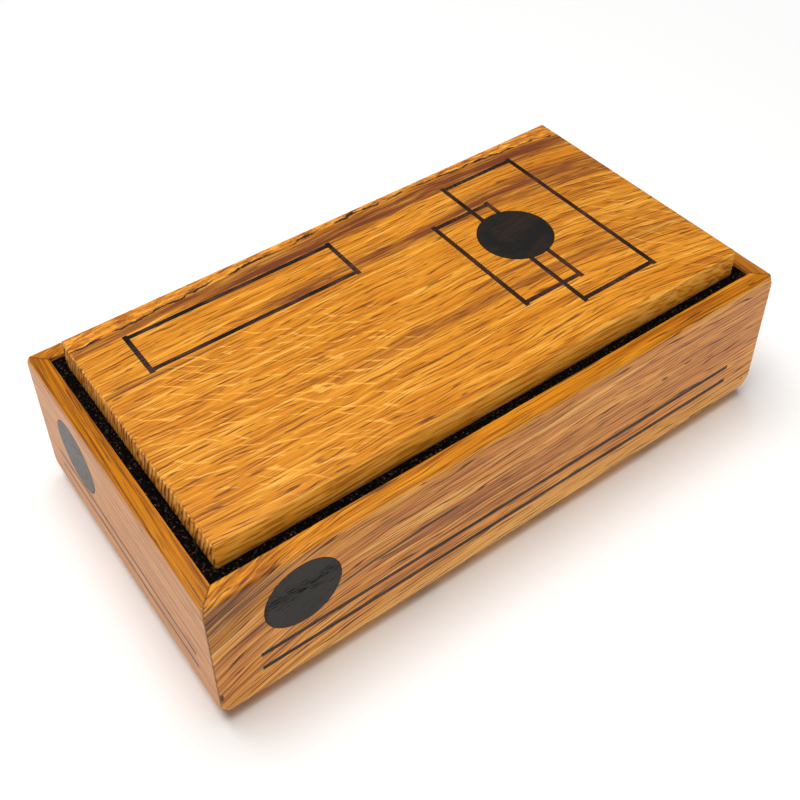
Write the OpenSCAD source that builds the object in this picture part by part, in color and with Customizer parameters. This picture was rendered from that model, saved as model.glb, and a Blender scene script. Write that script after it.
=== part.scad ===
// Wooden puzzle box: a mitred oak box whose lid lifts out of the rim once three flush discs are turned.
// The lid disc drives two hidden bolts by rack and pinion; the front and left discs each turn a latch tongue.
// Frame: millimetres, origin in the middle of the underside, +X along the length, +Y towards the back, +Z up.
// Every piece is drawn with the lid in place and all three locks open.

/* [Box] */
// Outside length of the box
box_l = 241.3; // [220:0.1:280]
// Outside width of the box, front to back
box_w = 127; // [115:0.1:150]
// Height of the walls
box_h = 63.5; // [58:0.1:80]
// Thickness of the walls
wall_t = 12.7; // [11.5:0.1:15]
// Width of the rim that stands round the lid
rim_w = 6.35; // [4.5:0.05:8]
// Radius of the rounded bottom edges
foot_r = 9.5; // [4:0.1:10]
// Radius of the outer edge of the rim
rim_r = 1.6; // [0.5:0.1:3]
// Radius of the upright corners
corner_r = 0.8; // [0.5:0.1:3]
// Radius of the ball shape that softens each outer corner where three edges meet
tip_r = 14; // [12:0.1:18]
// Thickness of the bottom panel
bottom_t = 6.35; // [4:0.05:9]
// Width of the rabbet that takes the bottom panel
bottom_lap = 2; // [1:0.1:2.2]

/* [Lid] */
// Thickness of the oak lid panel
lid_t = 11.1; // [9:0.1:15]
// Width of the gap between rim and lid panel
moat_w = 4.3; // [3:0.1:7]
// Depth of that gap below the rim
moat_d = 1.2; // [0.5:0.1:4]
// Thickness of the dark sub-lid
base_t = 6.35; // [5:0.05:9]
// Clearance of the sub-lid all round in the rim
base_gap = 0.4; // [0.2:0.05:0.8]
// Rounding of the lid panel's top edges
lid_r = 1.2; // [0.5:0.1:3]
// Rounding of the lid panel's upright corners
lid_corner_r = 1.2; // [0.5:0.1:3]

/* [Stringing] */
// Width of a string
string_w = 1.9; // [1:0.1:2.5]
// Depth of a string in the wood
string_d = 1.6; // [1:0.1:2.5]
// How far a cross string runs past a corner of its figure
string_over = 0.6; // [0:0.1:3]
// Distance of the lower line on the walls below the ledge that carries the lid
line_z = 37.65; // [35.95:0.05:41.95]
// Distance from the lower line to the upper line
line_step = 7.2; // [4:0.1:7.4]
// Distance of the long lines' ends from the corners
long_line_in = 16.1; // [8:0.1:30]
// Distance of the short lines' ends from the corners
short_line_in = 12.3; // [8:0.1:30]
// Distance of the long figure's middle from the lid's left end
long_fig_x = 60.6; // [55:0.1:65]
// Distance of the long figure's middle from the lid's back edge
long_fig_y = 22.35; // [18.85:0.05:28.85]
// Length of the long figure
long_fig_l = 85.7; // [60:0.1:90]
// Width of the long figure
long_fig_w = 21.9; // [12:0.1:26]
// Distance of the large figure's middle from the lid's right end
large_fig_x = 45.6; // [40:0.1:50]
// Distance of the large figure's middle behind the lid's middle
large_fig_y = 1.1; // [-4:0.1:4]
// Length of the large figure
large_fig_l = 35.4; // [28:0.1:38]
// Width of the large figure
large_fig_w = 82.4; // [70:0.1:86]
// Distance of the small figure's middle from the lid's right end
small_fig_x = 67.2; // [64:0.1:70]
// Distance of the small figure's middle behind the lid's middle
small_fig_y = -2.2; // [-6:0.1:2]
// Length of the small figure
small_fig_l = 27.6; // [22:0.1:30]
// Width of the small figure
small_fig_w = 54.6; // [46:0.1:60]

/* [Discs] */
// Diameter of the lid disc
disc_d = 28.6; // [24:0.1:32]
// Diameter of the two wall discs
wall_disc_d = 27.7; // [24:0.1:32]
// Thickness of the discs
disc_t = 5; // [4:0.1:6]
// Gap round a disc in its recess
disc_gap = 0.25; // [0.15:0.05:0.5]
// Gap behind a disc
disc_back_gap = 0.2; // [0.1:0.05:0.5]
// Distance of the lid disc from the lid's right end
lid_disc_x = 58; // [54:0.1:64]
// Distance of the lid disc behind the lid's middle
lid_disc_y = 3; // [-3:0.1:5]
// Distance of the wall discs from the left end of their wall
wall_disc_in = 33; // [30:0.1:40]
// Distance of the front disc's middle below the ledge that carries the lid
front_disc_z = 11.95; // [10.95:0.05:13.95]
// Distance of the left disc's middle below that ledge
left_disc_z = 14.75; // [10.95:0.05:14.95]

/* [Latches] */
// Diameter of the latch spindles
latch_spindle_d = 6.5; // [6:0.1:8]
// Square end of the latch spindles
latch_square = 4.4; // [3.5:0.1:4.6]
// Length of the square end inside a disc
disc_tenon = 3; // [2:0.1:3.5]
// Gap between the wall and the latch tongue
tongue_gap = 0.3; // [0.2:0.05:1]
// Thickness of the latch tongues
tongue_t = 5; // [4:0.1:7]
// Width of the latch tongues
tongue_w = 9; // [8:0.1:10]
// Reach of a tongue from its spindle
tongue_l = 10.3; // [9.5:0.1:10.6]
// Gap between a tongue and its keeper
keeper_gap = 0.6; // [0.3:0.05:0.8]
// Thickness of the keeper's hook
keeper_bar = 4.5; // [3:0.1:6]
// Width of the keeper's post
keeper_post = 8; // [6:0.1:12]
// Depth of the keeper's housing in the sub-lid
keeper_tenon = 3; // [2:0.1:4]
// Diameter of the tongue screws
tongue_screw_d = 2.5; // [2:0.1:3]
// Length of the tongue screws below the head
tongue_screw_l = 12; // [9:0.5:14]

/* [Bolt work] */
// Module of the pinion and racks
gear_module = 1.5; // [1.3:0.05:1.6]
// Number of teeth on the pinion, an even number
pinion_teeth = 10; // [10:2:12]
// Pressure angle of the teeth
pressure_angle = 25; // [24:0.5:27]
// Play between the teeth
backlash = 0.3; // [0.2:0.05:0.4]
// Height of a rack tooth above its pitch line, in modules
rack_stub = 0.8; // [0.7:0.05:0.85]
// Gap between a tooth's tip and the root it runs in, in modules
tip_play = 0.2; // [0.15:0.05:0.3]
// Travel of the bolts
bolt_throw = 6.3; // [5:0.1:6.6]
// Width of the bolts
bolt_w = 10; // [8:0.1:12]
// Thickness of the bolts
bolt_t = 6; // [5:0.1:7]
// Chamfer at the bolt's nose
bolt_nose = 1.2; // [0.5:0.1:2]
// Gap between a drawn-back bolt and the wall
bolt_gap = 0.6; // [0.4:0.1:1]
// Clearance round a bolt in its channel
slide_gap = 0.15; // [0.1:0.05:0.3]
// Clearance round a bolt in its mortise
mortise_gap = 0.3; // [0.2:0.05:0.6]
// Width of the rails beside the bolts
rail_w = 8; // [6:0.1:10]
// Length of the lock case, front to back
case_w = 88; // [84:0.5:90]
// Thickness of the board that carries the bolt work
bed_t = 5; // [4:0.1:6]
// Thickness of the lock cover
cover_t = 3; // [2.5:0.1:4]
// Diameter of the lid spindle
spindle_d = 8; // [7.5:0.1:9]
// Square part of the lid spindle
spindle_square = 5.4; // [5:0.1:5.6]
// Clearance of a spindle in its bore
turn_gap = 0.1; // [0.05:0.01:0.1]
// Diameter of the cover screws
screw_d = 3; // [2.5:0.1:3.5]
// Length of the cover screws
screw_l = 12; // [11:0.5:13]
// Distance of the screws from the ends of the case
screw_in = 6; // [4:0.5:9]

/* [Hidden] */
$fn = 96;
over = 1;                                   // how far a cutter runs past the face it opens

// heights, from the rim down
base_top = box_h - moat_d;
lid_top = base_top + lid_t;
ledge_z = base_top - base_t;
bed_z = ledge_z - bed_t;
bolt_z = bed_z - slide_gap - bolt_t;
cover_top = bolt_z - slide_gap;
cover_z = cover_top - cover_t;

// plan sizes
cavity_l = box_l - 2 * wall_t;
cavity_w = box_w - 2 * wall_t;
base_l = box_l - 2 * (rim_w + base_gap);
base_w = box_w - 2 * (rim_w + base_gap);
lid_l = box_l - 2 * (rim_w + moat_w);
lid_w = box_w - 2 * (rim_w + moat_w);
disc_seat_d = disc_d + 2 * disc_gap;
wall_seat_d = wall_disc_d + 2 * disc_gap;
disc_seat_t = disc_t + disc_back_gap;

// places on the walls, as seen from outside
front_disc_x = wall_disc_in - box_l / 2;
left_disc_x = wall_disc_in - box_w / 2;
front_axis_z = ledge_z - front_disc_z;
left_axis_z = ledge_z - left_disc_z;
low_line_z = ledge_z - line_z;

// places on the lid, from its middle
long_x = long_fig_x - lid_l / 2;
long_y = lid_w / 2 - long_fig_y;
large_x = lid_l / 2 - large_fig_x;
small_x = lid_l / 2 - small_fig_x;
spindle_x = lid_l / 2 - lid_disc_x;

// rack and pinion
pitch_r = gear_module * pinion_teeth / 2;
tooth_pitch = PI * gear_module;
tooth_half = tooth_pitch / 4 - backlash / 4;
pinion_tip_r = pitch_r + gear_module;
rack_tip = rack_stub * gear_module;
tip_gap = tip_play * gear_module;
pinion_root_r = pitch_r - rack_tip - tip_gap;
rack_back = pinion_tip_r + tip_gap;
flank_slope = tan(pressure_angle);
mesh_half = sqrt(pow(pinion_tip_r, 2) - pow(pitch_r - rack_tip, 2));
rack_ahead = ceil(mesh_half / tooth_pitch);
rack_behind = ceil((mesh_half + bolt_throw) / tooth_pitch);
tooth_foot = tooth_half + (rack_back - pitch_r) * flank_slope;
bolt_tail = (rack_behind - 0.5) * tooth_pitch + tooth_foot + bolt_nose;
spacer_in = max(bolt_tail, (rack_ahead - 0.5) * tooth_pitch + tooth_foot + bolt_throw) + over;
case_half_l = rack_back + bolt_w + slide_gap + rail_w;
base_r = pitch_r * cos(pressure_angle);
flank_steps = 6;
bolt_mid = rack_back + bolt_w / 2;
spindle_foot_d = spindle_square - 2 * turn_gap;
screw_head_r = screw_d;
screw_head_t = screw_d / 2;
dome_r = (pow(screw_head_r, 2) + pow(screw_head_t, 2)) / (2 * screw_head_t);
mortise_depth = bolt_throw - bolt_gap + mortise_gap;

// the balls that soften the outer corners: each one's middle lies equally far from both outer faces, just too far
// in to touch the upright edge, and its surface leaves the wood where the rounded edge has turned by tip_turn
tip_turn = 72;
tip_diag = tip_r + (sqrt(2) - 1) * corner_r + 0.03;
tip_in = tip_diag / sqrt(2);
function tip_rise(r) = r * (1 - sin(tip_turn)) + sqrt(
    pow(tip_r, 2) - pow(tip_diag - sqrt(2) * r * (1 - cos(tip_turn)), 2));

// how deep the latch tongues reach behind the outer face
tongue_end = wall_t + tongue_gap + tongue_t;

// ---------------------------------------------------------------- shared shapes

// a rectangle with round corners
module round_rect(l, w, r) {
    square([l - 2 * r, w], center = true);
    square([l, w - 2 * r], center = true);
    for (sx = [-1, 1], sy = [-1, 1]) {
        translate([sx * (l / 2 - r), sy * (w / 2 - r)]) circle(r = r);
    }
}

// what a round-over of radius r takes off the corner at the origin
module edge_waste(r) {
    difference() {
        translate([-over, -over]) square(r + over);
        translate([r, r]) circle(r = r);
    }
}

// a square filed on a round spindle, and the hole that fits it
module squared(side, d) {
    intersection() {
        square(side, center = true);
        circle(d = d);
    }
}

// puts a shape drawn in a wall's own frame in place: x along the wall, y inwards from its outer face, z up
module on_wall(side) {
    if (side == "front") translate([0, -box_w / 2, 0]) children();
    if (side == "back") rotate([0, 0, 180]) translate([0, -box_w / 2, 0]) children();
    if (side == "left") rotate([0, 0, -90]) translate([0, -box_l / 2, 0]) children();
    if (side == "right") rotate([0, 0, 90]) translate([0, -box_l / 2, 0]) children();
}

// turns a shape drawn flat, with its y up, to stand in a wall's frame between two depths
module upright(from, to) {
    translate([0, to, 0]) rotate([90, 0, 0]) linear_extrude(to - from) children();
}

// ---------------------------------------------------------------- walls

module wall_profile() {
    difference() {
        square([wall_t, box_h]);
        edge_waste(foot_r);
        translate([0, box_h]) mirror([0, 1]) edge_waste(rim_r);
        translate([wall_t - bottom_lap, -over]) square([bottom_lap + over, bottom_t + over]);
        translate([rim_w, ledge_z]) square([wall_t, box_h]);
    }
}

// one wall in its own frame, mitred at both ends
module wall_blank(len) {
    intersection() {
        translate([-len / 2, 0, 0]) rotate([90, 0, 90]) linear_extrude(len) wall_profile();
        linear_extrude(box_h) polygon([
            [-len / 2, 0], [len / 2, 0], [len / 2 - wall_t, wall_t], [wall_t - len / 2, wall_t]
        ]);
    }
}

module wall_lines(len, end_in) {
    for (z = [low_line_z, low_line_z + line_step]) {
        translate([end_in - len / 2, 0, z - string_w / 2]) cube([len - 2 * end_in, string_d, string_w]);
    }
}

// the recess for a wall disc and the bore for its spindle
module wall_disc_cut(x, z) {
    upright(-over, disc_seat_t) translate([x, z]) circle(d = wall_seat_d);
    upright(0, wall_t + over) translate([x, z]) circle(d = latch_spindle_d + 2 * turn_gap);
}

// the mortise that a bolt shoots into, x being the middle of the bolt along the wall
module bolt_mortise(x) {
    translate([x - bolt_w / 2 - mortise_gap, wall_t - mortise_depth, bolt_z - mortise_gap])
        cube([bolt_w + 2 * mortise_gap, mortise_depth + over, bolt_t + 2 * mortise_gap]);
}

// what is sanded off the outer corners, at the foot and at the rim
module tip_waste() {
    for (sx = [0, 1], sy = [0, 1]) {
        mirror([sx, 0]) mirror([0, sy]) {
            translate([box_l / 2, box_w / 2, 0]) one_tip(tip_rise(foot_r));
            translate([box_l / 2, box_w / 2, box_h]) mirror([0, 0, 1]) one_tip(tip_rise(rim_r));
        }
    }
}

module one_tip(rise) {
    difference() {
        translate([-tip_in, -tip_in, -over]) cube([tip_in + over, tip_in + over, rise + over]);
        translate([-tip_in, -tip_in, rise]) sphere(r = tip_r);
    }
}

// a wall in place, its corners softened with the rest of the box
module wall(side, len, end_in) {
    difference() {
        intersection() {
            on_wall(side) difference() {
                wall_blank(len);
                wall_lines(len, end_in);
                children();
            }
            linear_extrude(box_h) round_rect(box_l, box_w, corner_r);
        }
        tip_waste();
    }
}

module front_wall() {
    color("peru") wall("front", box_l, long_line_in) {
        wall_disc_cut(front_disc_x, front_axis_z);
        bolt_mortise(spindle_x - bolt_mid);
    }
}

module back_wall() {
    color("peru") wall("back", box_l, long_line_in) bolt_mortise(-spindle_x - bolt_mid);
}

module left_wall() {
    color("burlywood") wall("left", box_w, short_line_in) wall_disc_cut(left_disc_x, left_axis_z);
}

module right_wall() {
    color("burlywood") wall("right", box_w, short_line_in) {};
}

module bottom_panel() {
    color("tan") translate([-cavity_l / 2 - bottom_lap, -cavity_w / 2 - bottom_lap, 0])
        cube([cavity_l + 2 * bottom_lap, cavity_w + 2 * bottom_lap, bottom_t]);
}

// the lines of a wall, cut away wherever a disc's recess reaches them
module inlaid_lines(side, len, end_in) {
    color("black") on_wall(side) difference() {
        wall_lines(len, end_in);
        children();
    }
}

module front_lines() { inlaid_lines("front", box_l, long_line_in) wall_disc_cut(front_disc_x, front_axis_z); }
module back_lines() { inlaid_lines("back", box_l, long_line_in) {}; }
module left_lines() { inlaid_lines("left", box_w, short_line_in) wall_disc_cut(left_disc_x, left_axis_z); }
module right_lines() { inlaid_lines("right", box_w, short_line_in) {}; }

// ---------------------------------------------------------------- lid

// a rectangle of four strings: the cross strings run through, the long ones butt between them
module figure(x, y, l, w) {
    translate([x, y, lid_top - string_d]) {
        for (sx = [-1, 1]) {
            translate([sx * (l - string_w) / 2 - string_w / 2, -w / 2, 0]) cube([string_w, w, string_d]);
        }
        for (sy = [-1, 1]) {
            translate([string_w - l / 2, sy * (w / 2 - string_over - string_w / 2) - string_w / 2, 0])
                cube([l - 2 * string_w, string_w, string_d]);
        }
    }
}

module long_strings() { figure(long_x, long_y, long_fig_l, long_fig_w); }
module large_strings() { figure(large_x, large_fig_y, large_fig_l, large_fig_w); }
module small_strings() { figure(small_x, small_fig_y, small_fig_l, small_fig_w); }

module lid_disc_seat() {
    translate([spindle_x, lid_disc_y, lid_top - disc_seat_t])
        cylinder(d = disc_seat_d, h = disc_seat_t + over);
}

// bore for the lid spindle between two heights
module spindle_bore(from, to) {
    translate([spindle_x, lid_disc_y, from]) cylinder(d = spindle_d + 2 * turn_gap, h = to - from);
}

// the panel's outline seen along its length or its width, top edges rounded
module lid_profile(w) {
    difference() {
        translate([-w / 2, 0]) square([w, lid_t]);
        for (s = [0, 1]) {
            mirror([s, 0]) translate([-w / 2, lid_t]) mirror([0, 1]) edge_waste(lid_r);
        }
    }
}

module lid_panel() {
    color("goldenrod") difference() {
        translate([0, 0, base_top]) intersection() {
            rotate([90, 0, 90]) translate([0, 0, -lid_l / 2]) linear_extrude(lid_l) lid_profile(lid_w);
            rotate([90, 0, 0]) translate([0, 0, -lid_w / 2]) linear_extrude(lid_w) lid_profile(lid_l);
            linear_extrude(lid_t) round_rect(lid_l, lid_w, lid_corner_r);
        }
        lid_disc_seat();
        spindle_bore(base_top - over, lid_top);
        long_strings();
        large_strings();
        small_strings();
    }
}

module lid_base() {
    color("black") difference() {
        translate([-base_l / 2, -base_w / 2, ledge_z]) cube([base_l, base_w, base_t]);
        spindle_bore(ledge_z - over, base_top + over);
        keeper("front", front_disc_x, front_axis_z);
        keeper("left", left_disc_x, left_axis_z);
        tongue_room("front", front_disc_x, front_axis_z);
        tongue_room("left", left_disc_x, left_axis_z);
    }
}

module long_figure() { color("black") long_strings(); }

module large_figure() {
    color("black") difference() {
        large_strings();
        lid_disc_seat();
    }
}

// the small figure's long strings are cut where the large figure crosses them
module small_figure() {
    color("black") difference() {
        small_strings();
        large_strings();
        lid_disc_seat();
    }
}

// ---------------------------------------------------------------- bolt work under the lid

// puts a shape drawn round the lid spindle in place
module on_spindle() {
    translate([spindle_x, lid_disc_y, 0]) children();
}

// a rectangle of the lock case, seen from the spindle, between two places front to back
module case_rect(half_l, front, back) {
    translate([-half_l, front - lid_disc_y]) square([2 * half_l, back - front]);
}

module cover_screw_places() {
    for (sx = [-1, 0, 1], sy = [-1, 1]) {
        translate([sx * (case_half_l - rail_w / 2), sy * (case_w / 2 - screw_in) - lid_disc_y, cover_z])
            children();
    }
}

// countersunk screw, its head flush with the underside of the cover
module cover_screw() {
    cylinder(d = screw_d, h = screw_l);
    cylinder(r1 = screw_head_r, r2 = screw_d / 2, h = screw_head_t);
}

module cover_screws() { color("gold") on_spindle() cover_screw_places() cover_screw(); }

module case_part(from, to) {
    difference() {
        translate([0, 0, from]) linear_extrude(to - from) children();
        cover_screw_places() cover_screw();
    }
}

module lock_bed() {
    color("wheat") difference() {
        on_spindle() case_part(bed_z, ledge_z) case_rect(case_half_l, -case_w / 2, case_w / 2);
        spindle_bore(bed_z - over, ledge_z + over);
    }
}

module lock_cover() {
    color("wheat") on_spindle() case_part(cover_z, cover_top) difference() {
        case_rect(case_half_l, -case_w / 2, case_w / 2);
        circle(d = spindle_foot_d + 2 * turn_gap);
    }
}

// the rail on the outer side of one bolt
module rail(side) {
    color("burlywood") on_spindle() case_part(cover_top, bed_z)
        translate([side * (case_half_l - rail_w / 2), 0]) case_rect(rail_w / 2, -case_w / 2, case_w / 2);
}

module left_rail() { rail(-1); }
module right_rail() { rail(1); }

// a block between the two bolts, clear of the pinion and the racks
module spacer(front, back) {
    color("burlywood") on_spindle() case_part(cover_top, bed_z) case_rect(rack_back - slide_gap, front, back);
}

module front_spacer() { spacer(-case_w / 2, lid_disc_y - spacer_in); }
module back_spacer() { spacer(lid_disc_y + spacer_in, case_w / 2); }

// outline of one rack tooth centred at y and pointing at the spindle, from its far foot to its near foot
function rack_tooth(y) = let(tip_x = pitch_r - rack_tip, tip_half = tooth_half - rack_tip * flank_slope) [
    [rack_back, y + tooth_foot], [tip_x, y + tip_half], [tip_x, y - tip_half], [rack_back, y - tooth_foot]
];

// a bolt with its rack, lying on the +X side of the spindle and reaching towards +Y
module bolt(reach) {
    color("wheat") translate([0, 0, bolt_z]) linear_extrude(bolt_t) polygon(concat(
        [[rack_back, -bolt_tail], [rack_back + bolt_w, -bolt_tail], [rack_back + bolt_w, reach - bolt_nose]],
        [[rack_back + bolt_w - bolt_nose, reach], [rack_back + bolt_nose, reach]],
        [[rack_back, reach - bolt_nose]],
        [for (i = [rack_ahead - 1:-1:-rack_behind]) each rack_tooth((i + 0.5) * tooth_pitch)]
    ));
}

module back_bolt() { on_spindle() bolt(cavity_w / 2 - lid_disc_y - bolt_gap); }
module front_bolt() { on_spindle() rotate([0, 0, 180]) bolt(cavity_w / 2 + lid_disc_y - bolt_gap); }

// half the angle that a pinion tooth covers at radius r: its half at the pitch circle, and the involute
function involute(angle) = tan(angle) * 180 / PI - angle;
function half_tooth(r) =
    tooth_half / pitch_r * 180 / PI + involute(pressure_angle) - involute(acos(min(1, base_r / r)));

module pinion_tooth() {
    flank = [for (i = [0:flank_steps]) base_r + (pinion_tip_r + tip_gap - base_r) * i / flank_steps];
    root = half_tooth(base_r);
    polygon(concat(
        [[0, 0], pinion_root_r * [cos(root), -sin(root)]],
        [for (r = flank) r * [cos(half_tooth(r)), -sin(half_tooth(r))]],
        [for (i = [flank_steps:-1:0]) flank[i] * [cos(half_tooth(flank[i])), sin(half_tooth(flank[i]))]],
        [pinion_root_r * [cos(root), sin(root)]]
    ));
}

module lid_pinion() {
    color("wheat") on_spindle() translate([0, 0, bolt_z]) linear_extrude(bolt_t) difference() {
        union() {
            circle(r = pinion_root_r);
            intersection() {
                circle(r = pinion_tip_r);
                for (i = [0:pinion_teeth - 1]) rotate(i * 360 / pinion_teeth) pinion_tooth();
            }
        }
        squared(spindle_square, spindle_d);
    }
}

module lid_disc() {
    color("black") on_spindle() difference() {
        translate([0, 0, lid_top - disc_t]) cylinder(d = disc_d, h = disc_t);
        translate([0, 0, lid_top - disc_t - over]) linear_extrude(disc_tenon + over)
            squared(spindle_square, spindle_d);
    }
}

module lid_spindle() {
    color("saddlebrown") on_spindle() {
        translate([0, 0, bed_z - slide_gap])
            cylinder(d = spindle_d, h = lid_top - disc_t - bed_z + slide_gap);
        translate([0, 0, bolt_z]) linear_extrude(lid_top - disc_t + disc_tenon - bolt_z)
            squared(spindle_square, spindle_d);
        translate([0, 0, cover_z]) cylinder(d = spindle_foot_d, h = bolt_z - cover_z + over);
    }
}

// ---------------------------------------------------------------- latches behind the wall discs

// a turning piece drawn round its own axis in the wall's frame, between two depths
module turned(x, z, from, to) {
    upright(from, to) translate([x, z]) children();
}

module wall_disc(side, x, z) {
    color("black") on_wall(side) difference() {
        turned(x, z, 0, disc_t) circle(d = wall_disc_d);
        turned(x, z, disc_t - disc_tenon, disc_t + over) squared(latch_square, latch_spindle_d);
    }
}

module latch_spindle(side, x, z) {
    color("saddlebrown") on_wall(side) difference() {
        union() {
            turned(x, z, disc_t, wall_t + tongue_gap) circle(d = latch_spindle_d);
            turned(x, z, disc_t - disc_tenon, tongue_end) squared(latch_square, latch_spindle_d);
        }
        turned(x, z, tongue_end - tongue_screw_l, tongue_end + over) circle(d = tongue_screw_d);
    }
}

// the tongue stands up when the latch is open
module tongue(side, x, z) {
    color("sienna") on_wall(side) turned(x, z, wall_t + tongue_gap, tongue_end) difference() {
        union() {
            circle(d = tongue_w);
            translate([-tongue_w / 2, 0]) square([tongue_w, tongue_l - tongue_w / 2]);
            translate([0, tongue_l - tongue_w / 2]) circle(d = tongue_w);
        }
        squared(latch_square, latch_spindle_d);
    }
}

// round-head screw that holds the tongue on its spindle
module tongue_screw(side, x, z) {
    color("gold") on_wall(side) {
        turned(x, z, tongue_end - tongue_screw_l, tongue_end) circle(d = tongue_screw_d);
        translate([x, tongue_end, z]) rotate([-90, 0, 0]) intersection() {
            translate([0, 0, screw_head_t - dome_r]) sphere(r = dome_r);
            cylinder(r = screw_head_r, h = screw_head_t);
        }
    }
}

// the hook that hangs from the sub-lid; the tongue swings over its bar
module keeper(side, x, z) {
    bar_top = z - tongue_w / 2 - keeper_gap;
    post_x = x + tongue_l + keeper_gap;
    on_wall(side) upright(wall_t + keeper_gap, tongue_end + keeper_gap) {
        translate([post_x, bar_top - keeper_bar])
            square([keeper_post, ledge_z + keeper_tenon - bar_top + keeper_bar]);
        translate([x + tongue_w / 2 + keeper_gap, bar_top - keeper_bar])
            square([post_x - x - tongue_w / 2 - keeper_gap + over, keeper_bar]);
    }
}

// room in the sub-lid for the swing of a tongue that reaches up to it
module tongue_room(side, x, z) {
    on_wall(side) turned(x, z, wall_t, tongue_end + keeper_gap) circle(r = tongue_l + keeper_gap);
}

module front_keeper() { color("sienna") keeper("front", front_disc_x, front_axis_z); }
module left_keeper() { color("sienna") keeper("left", left_disc_x, left_axis_z); }
module front_disc() { wall_disc("front", front_disc_x, front_axis_z); }
module left_disc() { wall_disc("left", left_disc_x, left_axis_z); }
module front_spindle() { latch_spindle("front", front_disc_x, front_axis_z); }
module left_spindle() { latch_spindle("left", left_disc_x, left_axis_z); }
module front_tongue() { tongue("front", front_disc_x, front_axis_z); }
module left_tongue() { tongue("left", left_disc_x, left_axis_z); }
module front_tongue_screw() { tongue_screw("front", front_disc_x, front_axis_z); }
module left_tongue_screw() { tongue_screw("left", left_disc_x, left_axis_z); }

front_wall();
back_wall();
left_wall();
right_wall();
bottom_panel();
front_lines();
back_lines();
left_lines();
right_lines();
lid_panel();
lid_base();
long_figure();
large_figure();
small_figure();
lock_bed();
left_rail();
right_rail();
front_spacer();
back_spacer();
lock_cover();
cover_screws();
front_keeper();
left_keeper();
lid_disc();
lid_spindle();
lid_pinion();
front_bolt();
back_bolt();
front_disc();
front_spindle();
front_tongue();
front_tongue_screw();
left_disc();
left_spindle();
left_tongue();
left_tongue_screw();
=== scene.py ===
import math

import bpy
from mathutils import Matrix, Vector


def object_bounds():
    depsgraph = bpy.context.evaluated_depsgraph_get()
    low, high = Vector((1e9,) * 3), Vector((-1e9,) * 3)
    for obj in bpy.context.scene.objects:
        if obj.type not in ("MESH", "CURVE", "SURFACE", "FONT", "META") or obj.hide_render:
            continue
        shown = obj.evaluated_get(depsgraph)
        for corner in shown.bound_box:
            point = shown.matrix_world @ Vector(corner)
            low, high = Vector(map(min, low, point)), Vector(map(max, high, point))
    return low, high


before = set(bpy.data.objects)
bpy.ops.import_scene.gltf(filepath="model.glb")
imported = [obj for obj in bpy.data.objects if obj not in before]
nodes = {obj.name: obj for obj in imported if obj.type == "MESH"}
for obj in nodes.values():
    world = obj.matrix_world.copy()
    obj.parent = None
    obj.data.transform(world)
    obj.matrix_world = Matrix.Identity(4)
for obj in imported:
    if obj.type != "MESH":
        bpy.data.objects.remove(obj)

cadLow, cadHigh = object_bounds()
mm = 0.001
toMillimetres = (1000, 1000, 1000)  # object coordinates are in metres, the patterns in millimetres
noiseMiddle = 0.5  # a noise texture varies about this value
woodIor = 1.5  # wood fibre and the oil or wax on it
print("frame loaded:", len(nodes), "pieces")


# sRGB hex to the linear colour that a shader works with
def linearColour(hexText):
    channels = [int(hexText[i:i + 2], 16) / 255 for i in (1, 3, 5)]
    lin = [c / 12.92 if c <= 0.04045 else ((c + 0.055) / 1.055) ** 2.4 for c in channels]
    return (*lin, 1.0)


# adds one node with its settings and links, and gives back the output that is asked for
def addNode(tree, kind, inputs=None, out=0, stops=None, **settings):
    made = tree.nodes.new("ShaderNode" + kind)
    for name, value in settings.items():
        setattr(made, name, value)
    for key, value in (inputs or {}).items():
        if isinstance(value, bpy.types.NodeSocket):
            tree.links.new(value, made.inputs[key])
        elif isinstance(value, str) and value.startswith("#"):
            made.inputs[key].default_value = linearColour(value)
        else:
            made.inputs[key].default_value = value
    if stops:
        ramp = made.color_ramp.elements
        while len(ramp) < len(stops):
            ramp.new(0.5)
        for element, (place, shade) in zip(ramp, stops):
            element.position = place
            element.color = linearColour(shade)
    return made.outputs[out] if made.outputs else made


def newMaterial(name):
    material = bpy.data.materials.new(name)
    material.use_nodes = True
    material.node_tree.nodes.clear()
    return material, material.node_tree


def finishPiece(names, material):
    for name in names:
        for slot in nodes[name].material_slots:
            slot.material = material


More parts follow.
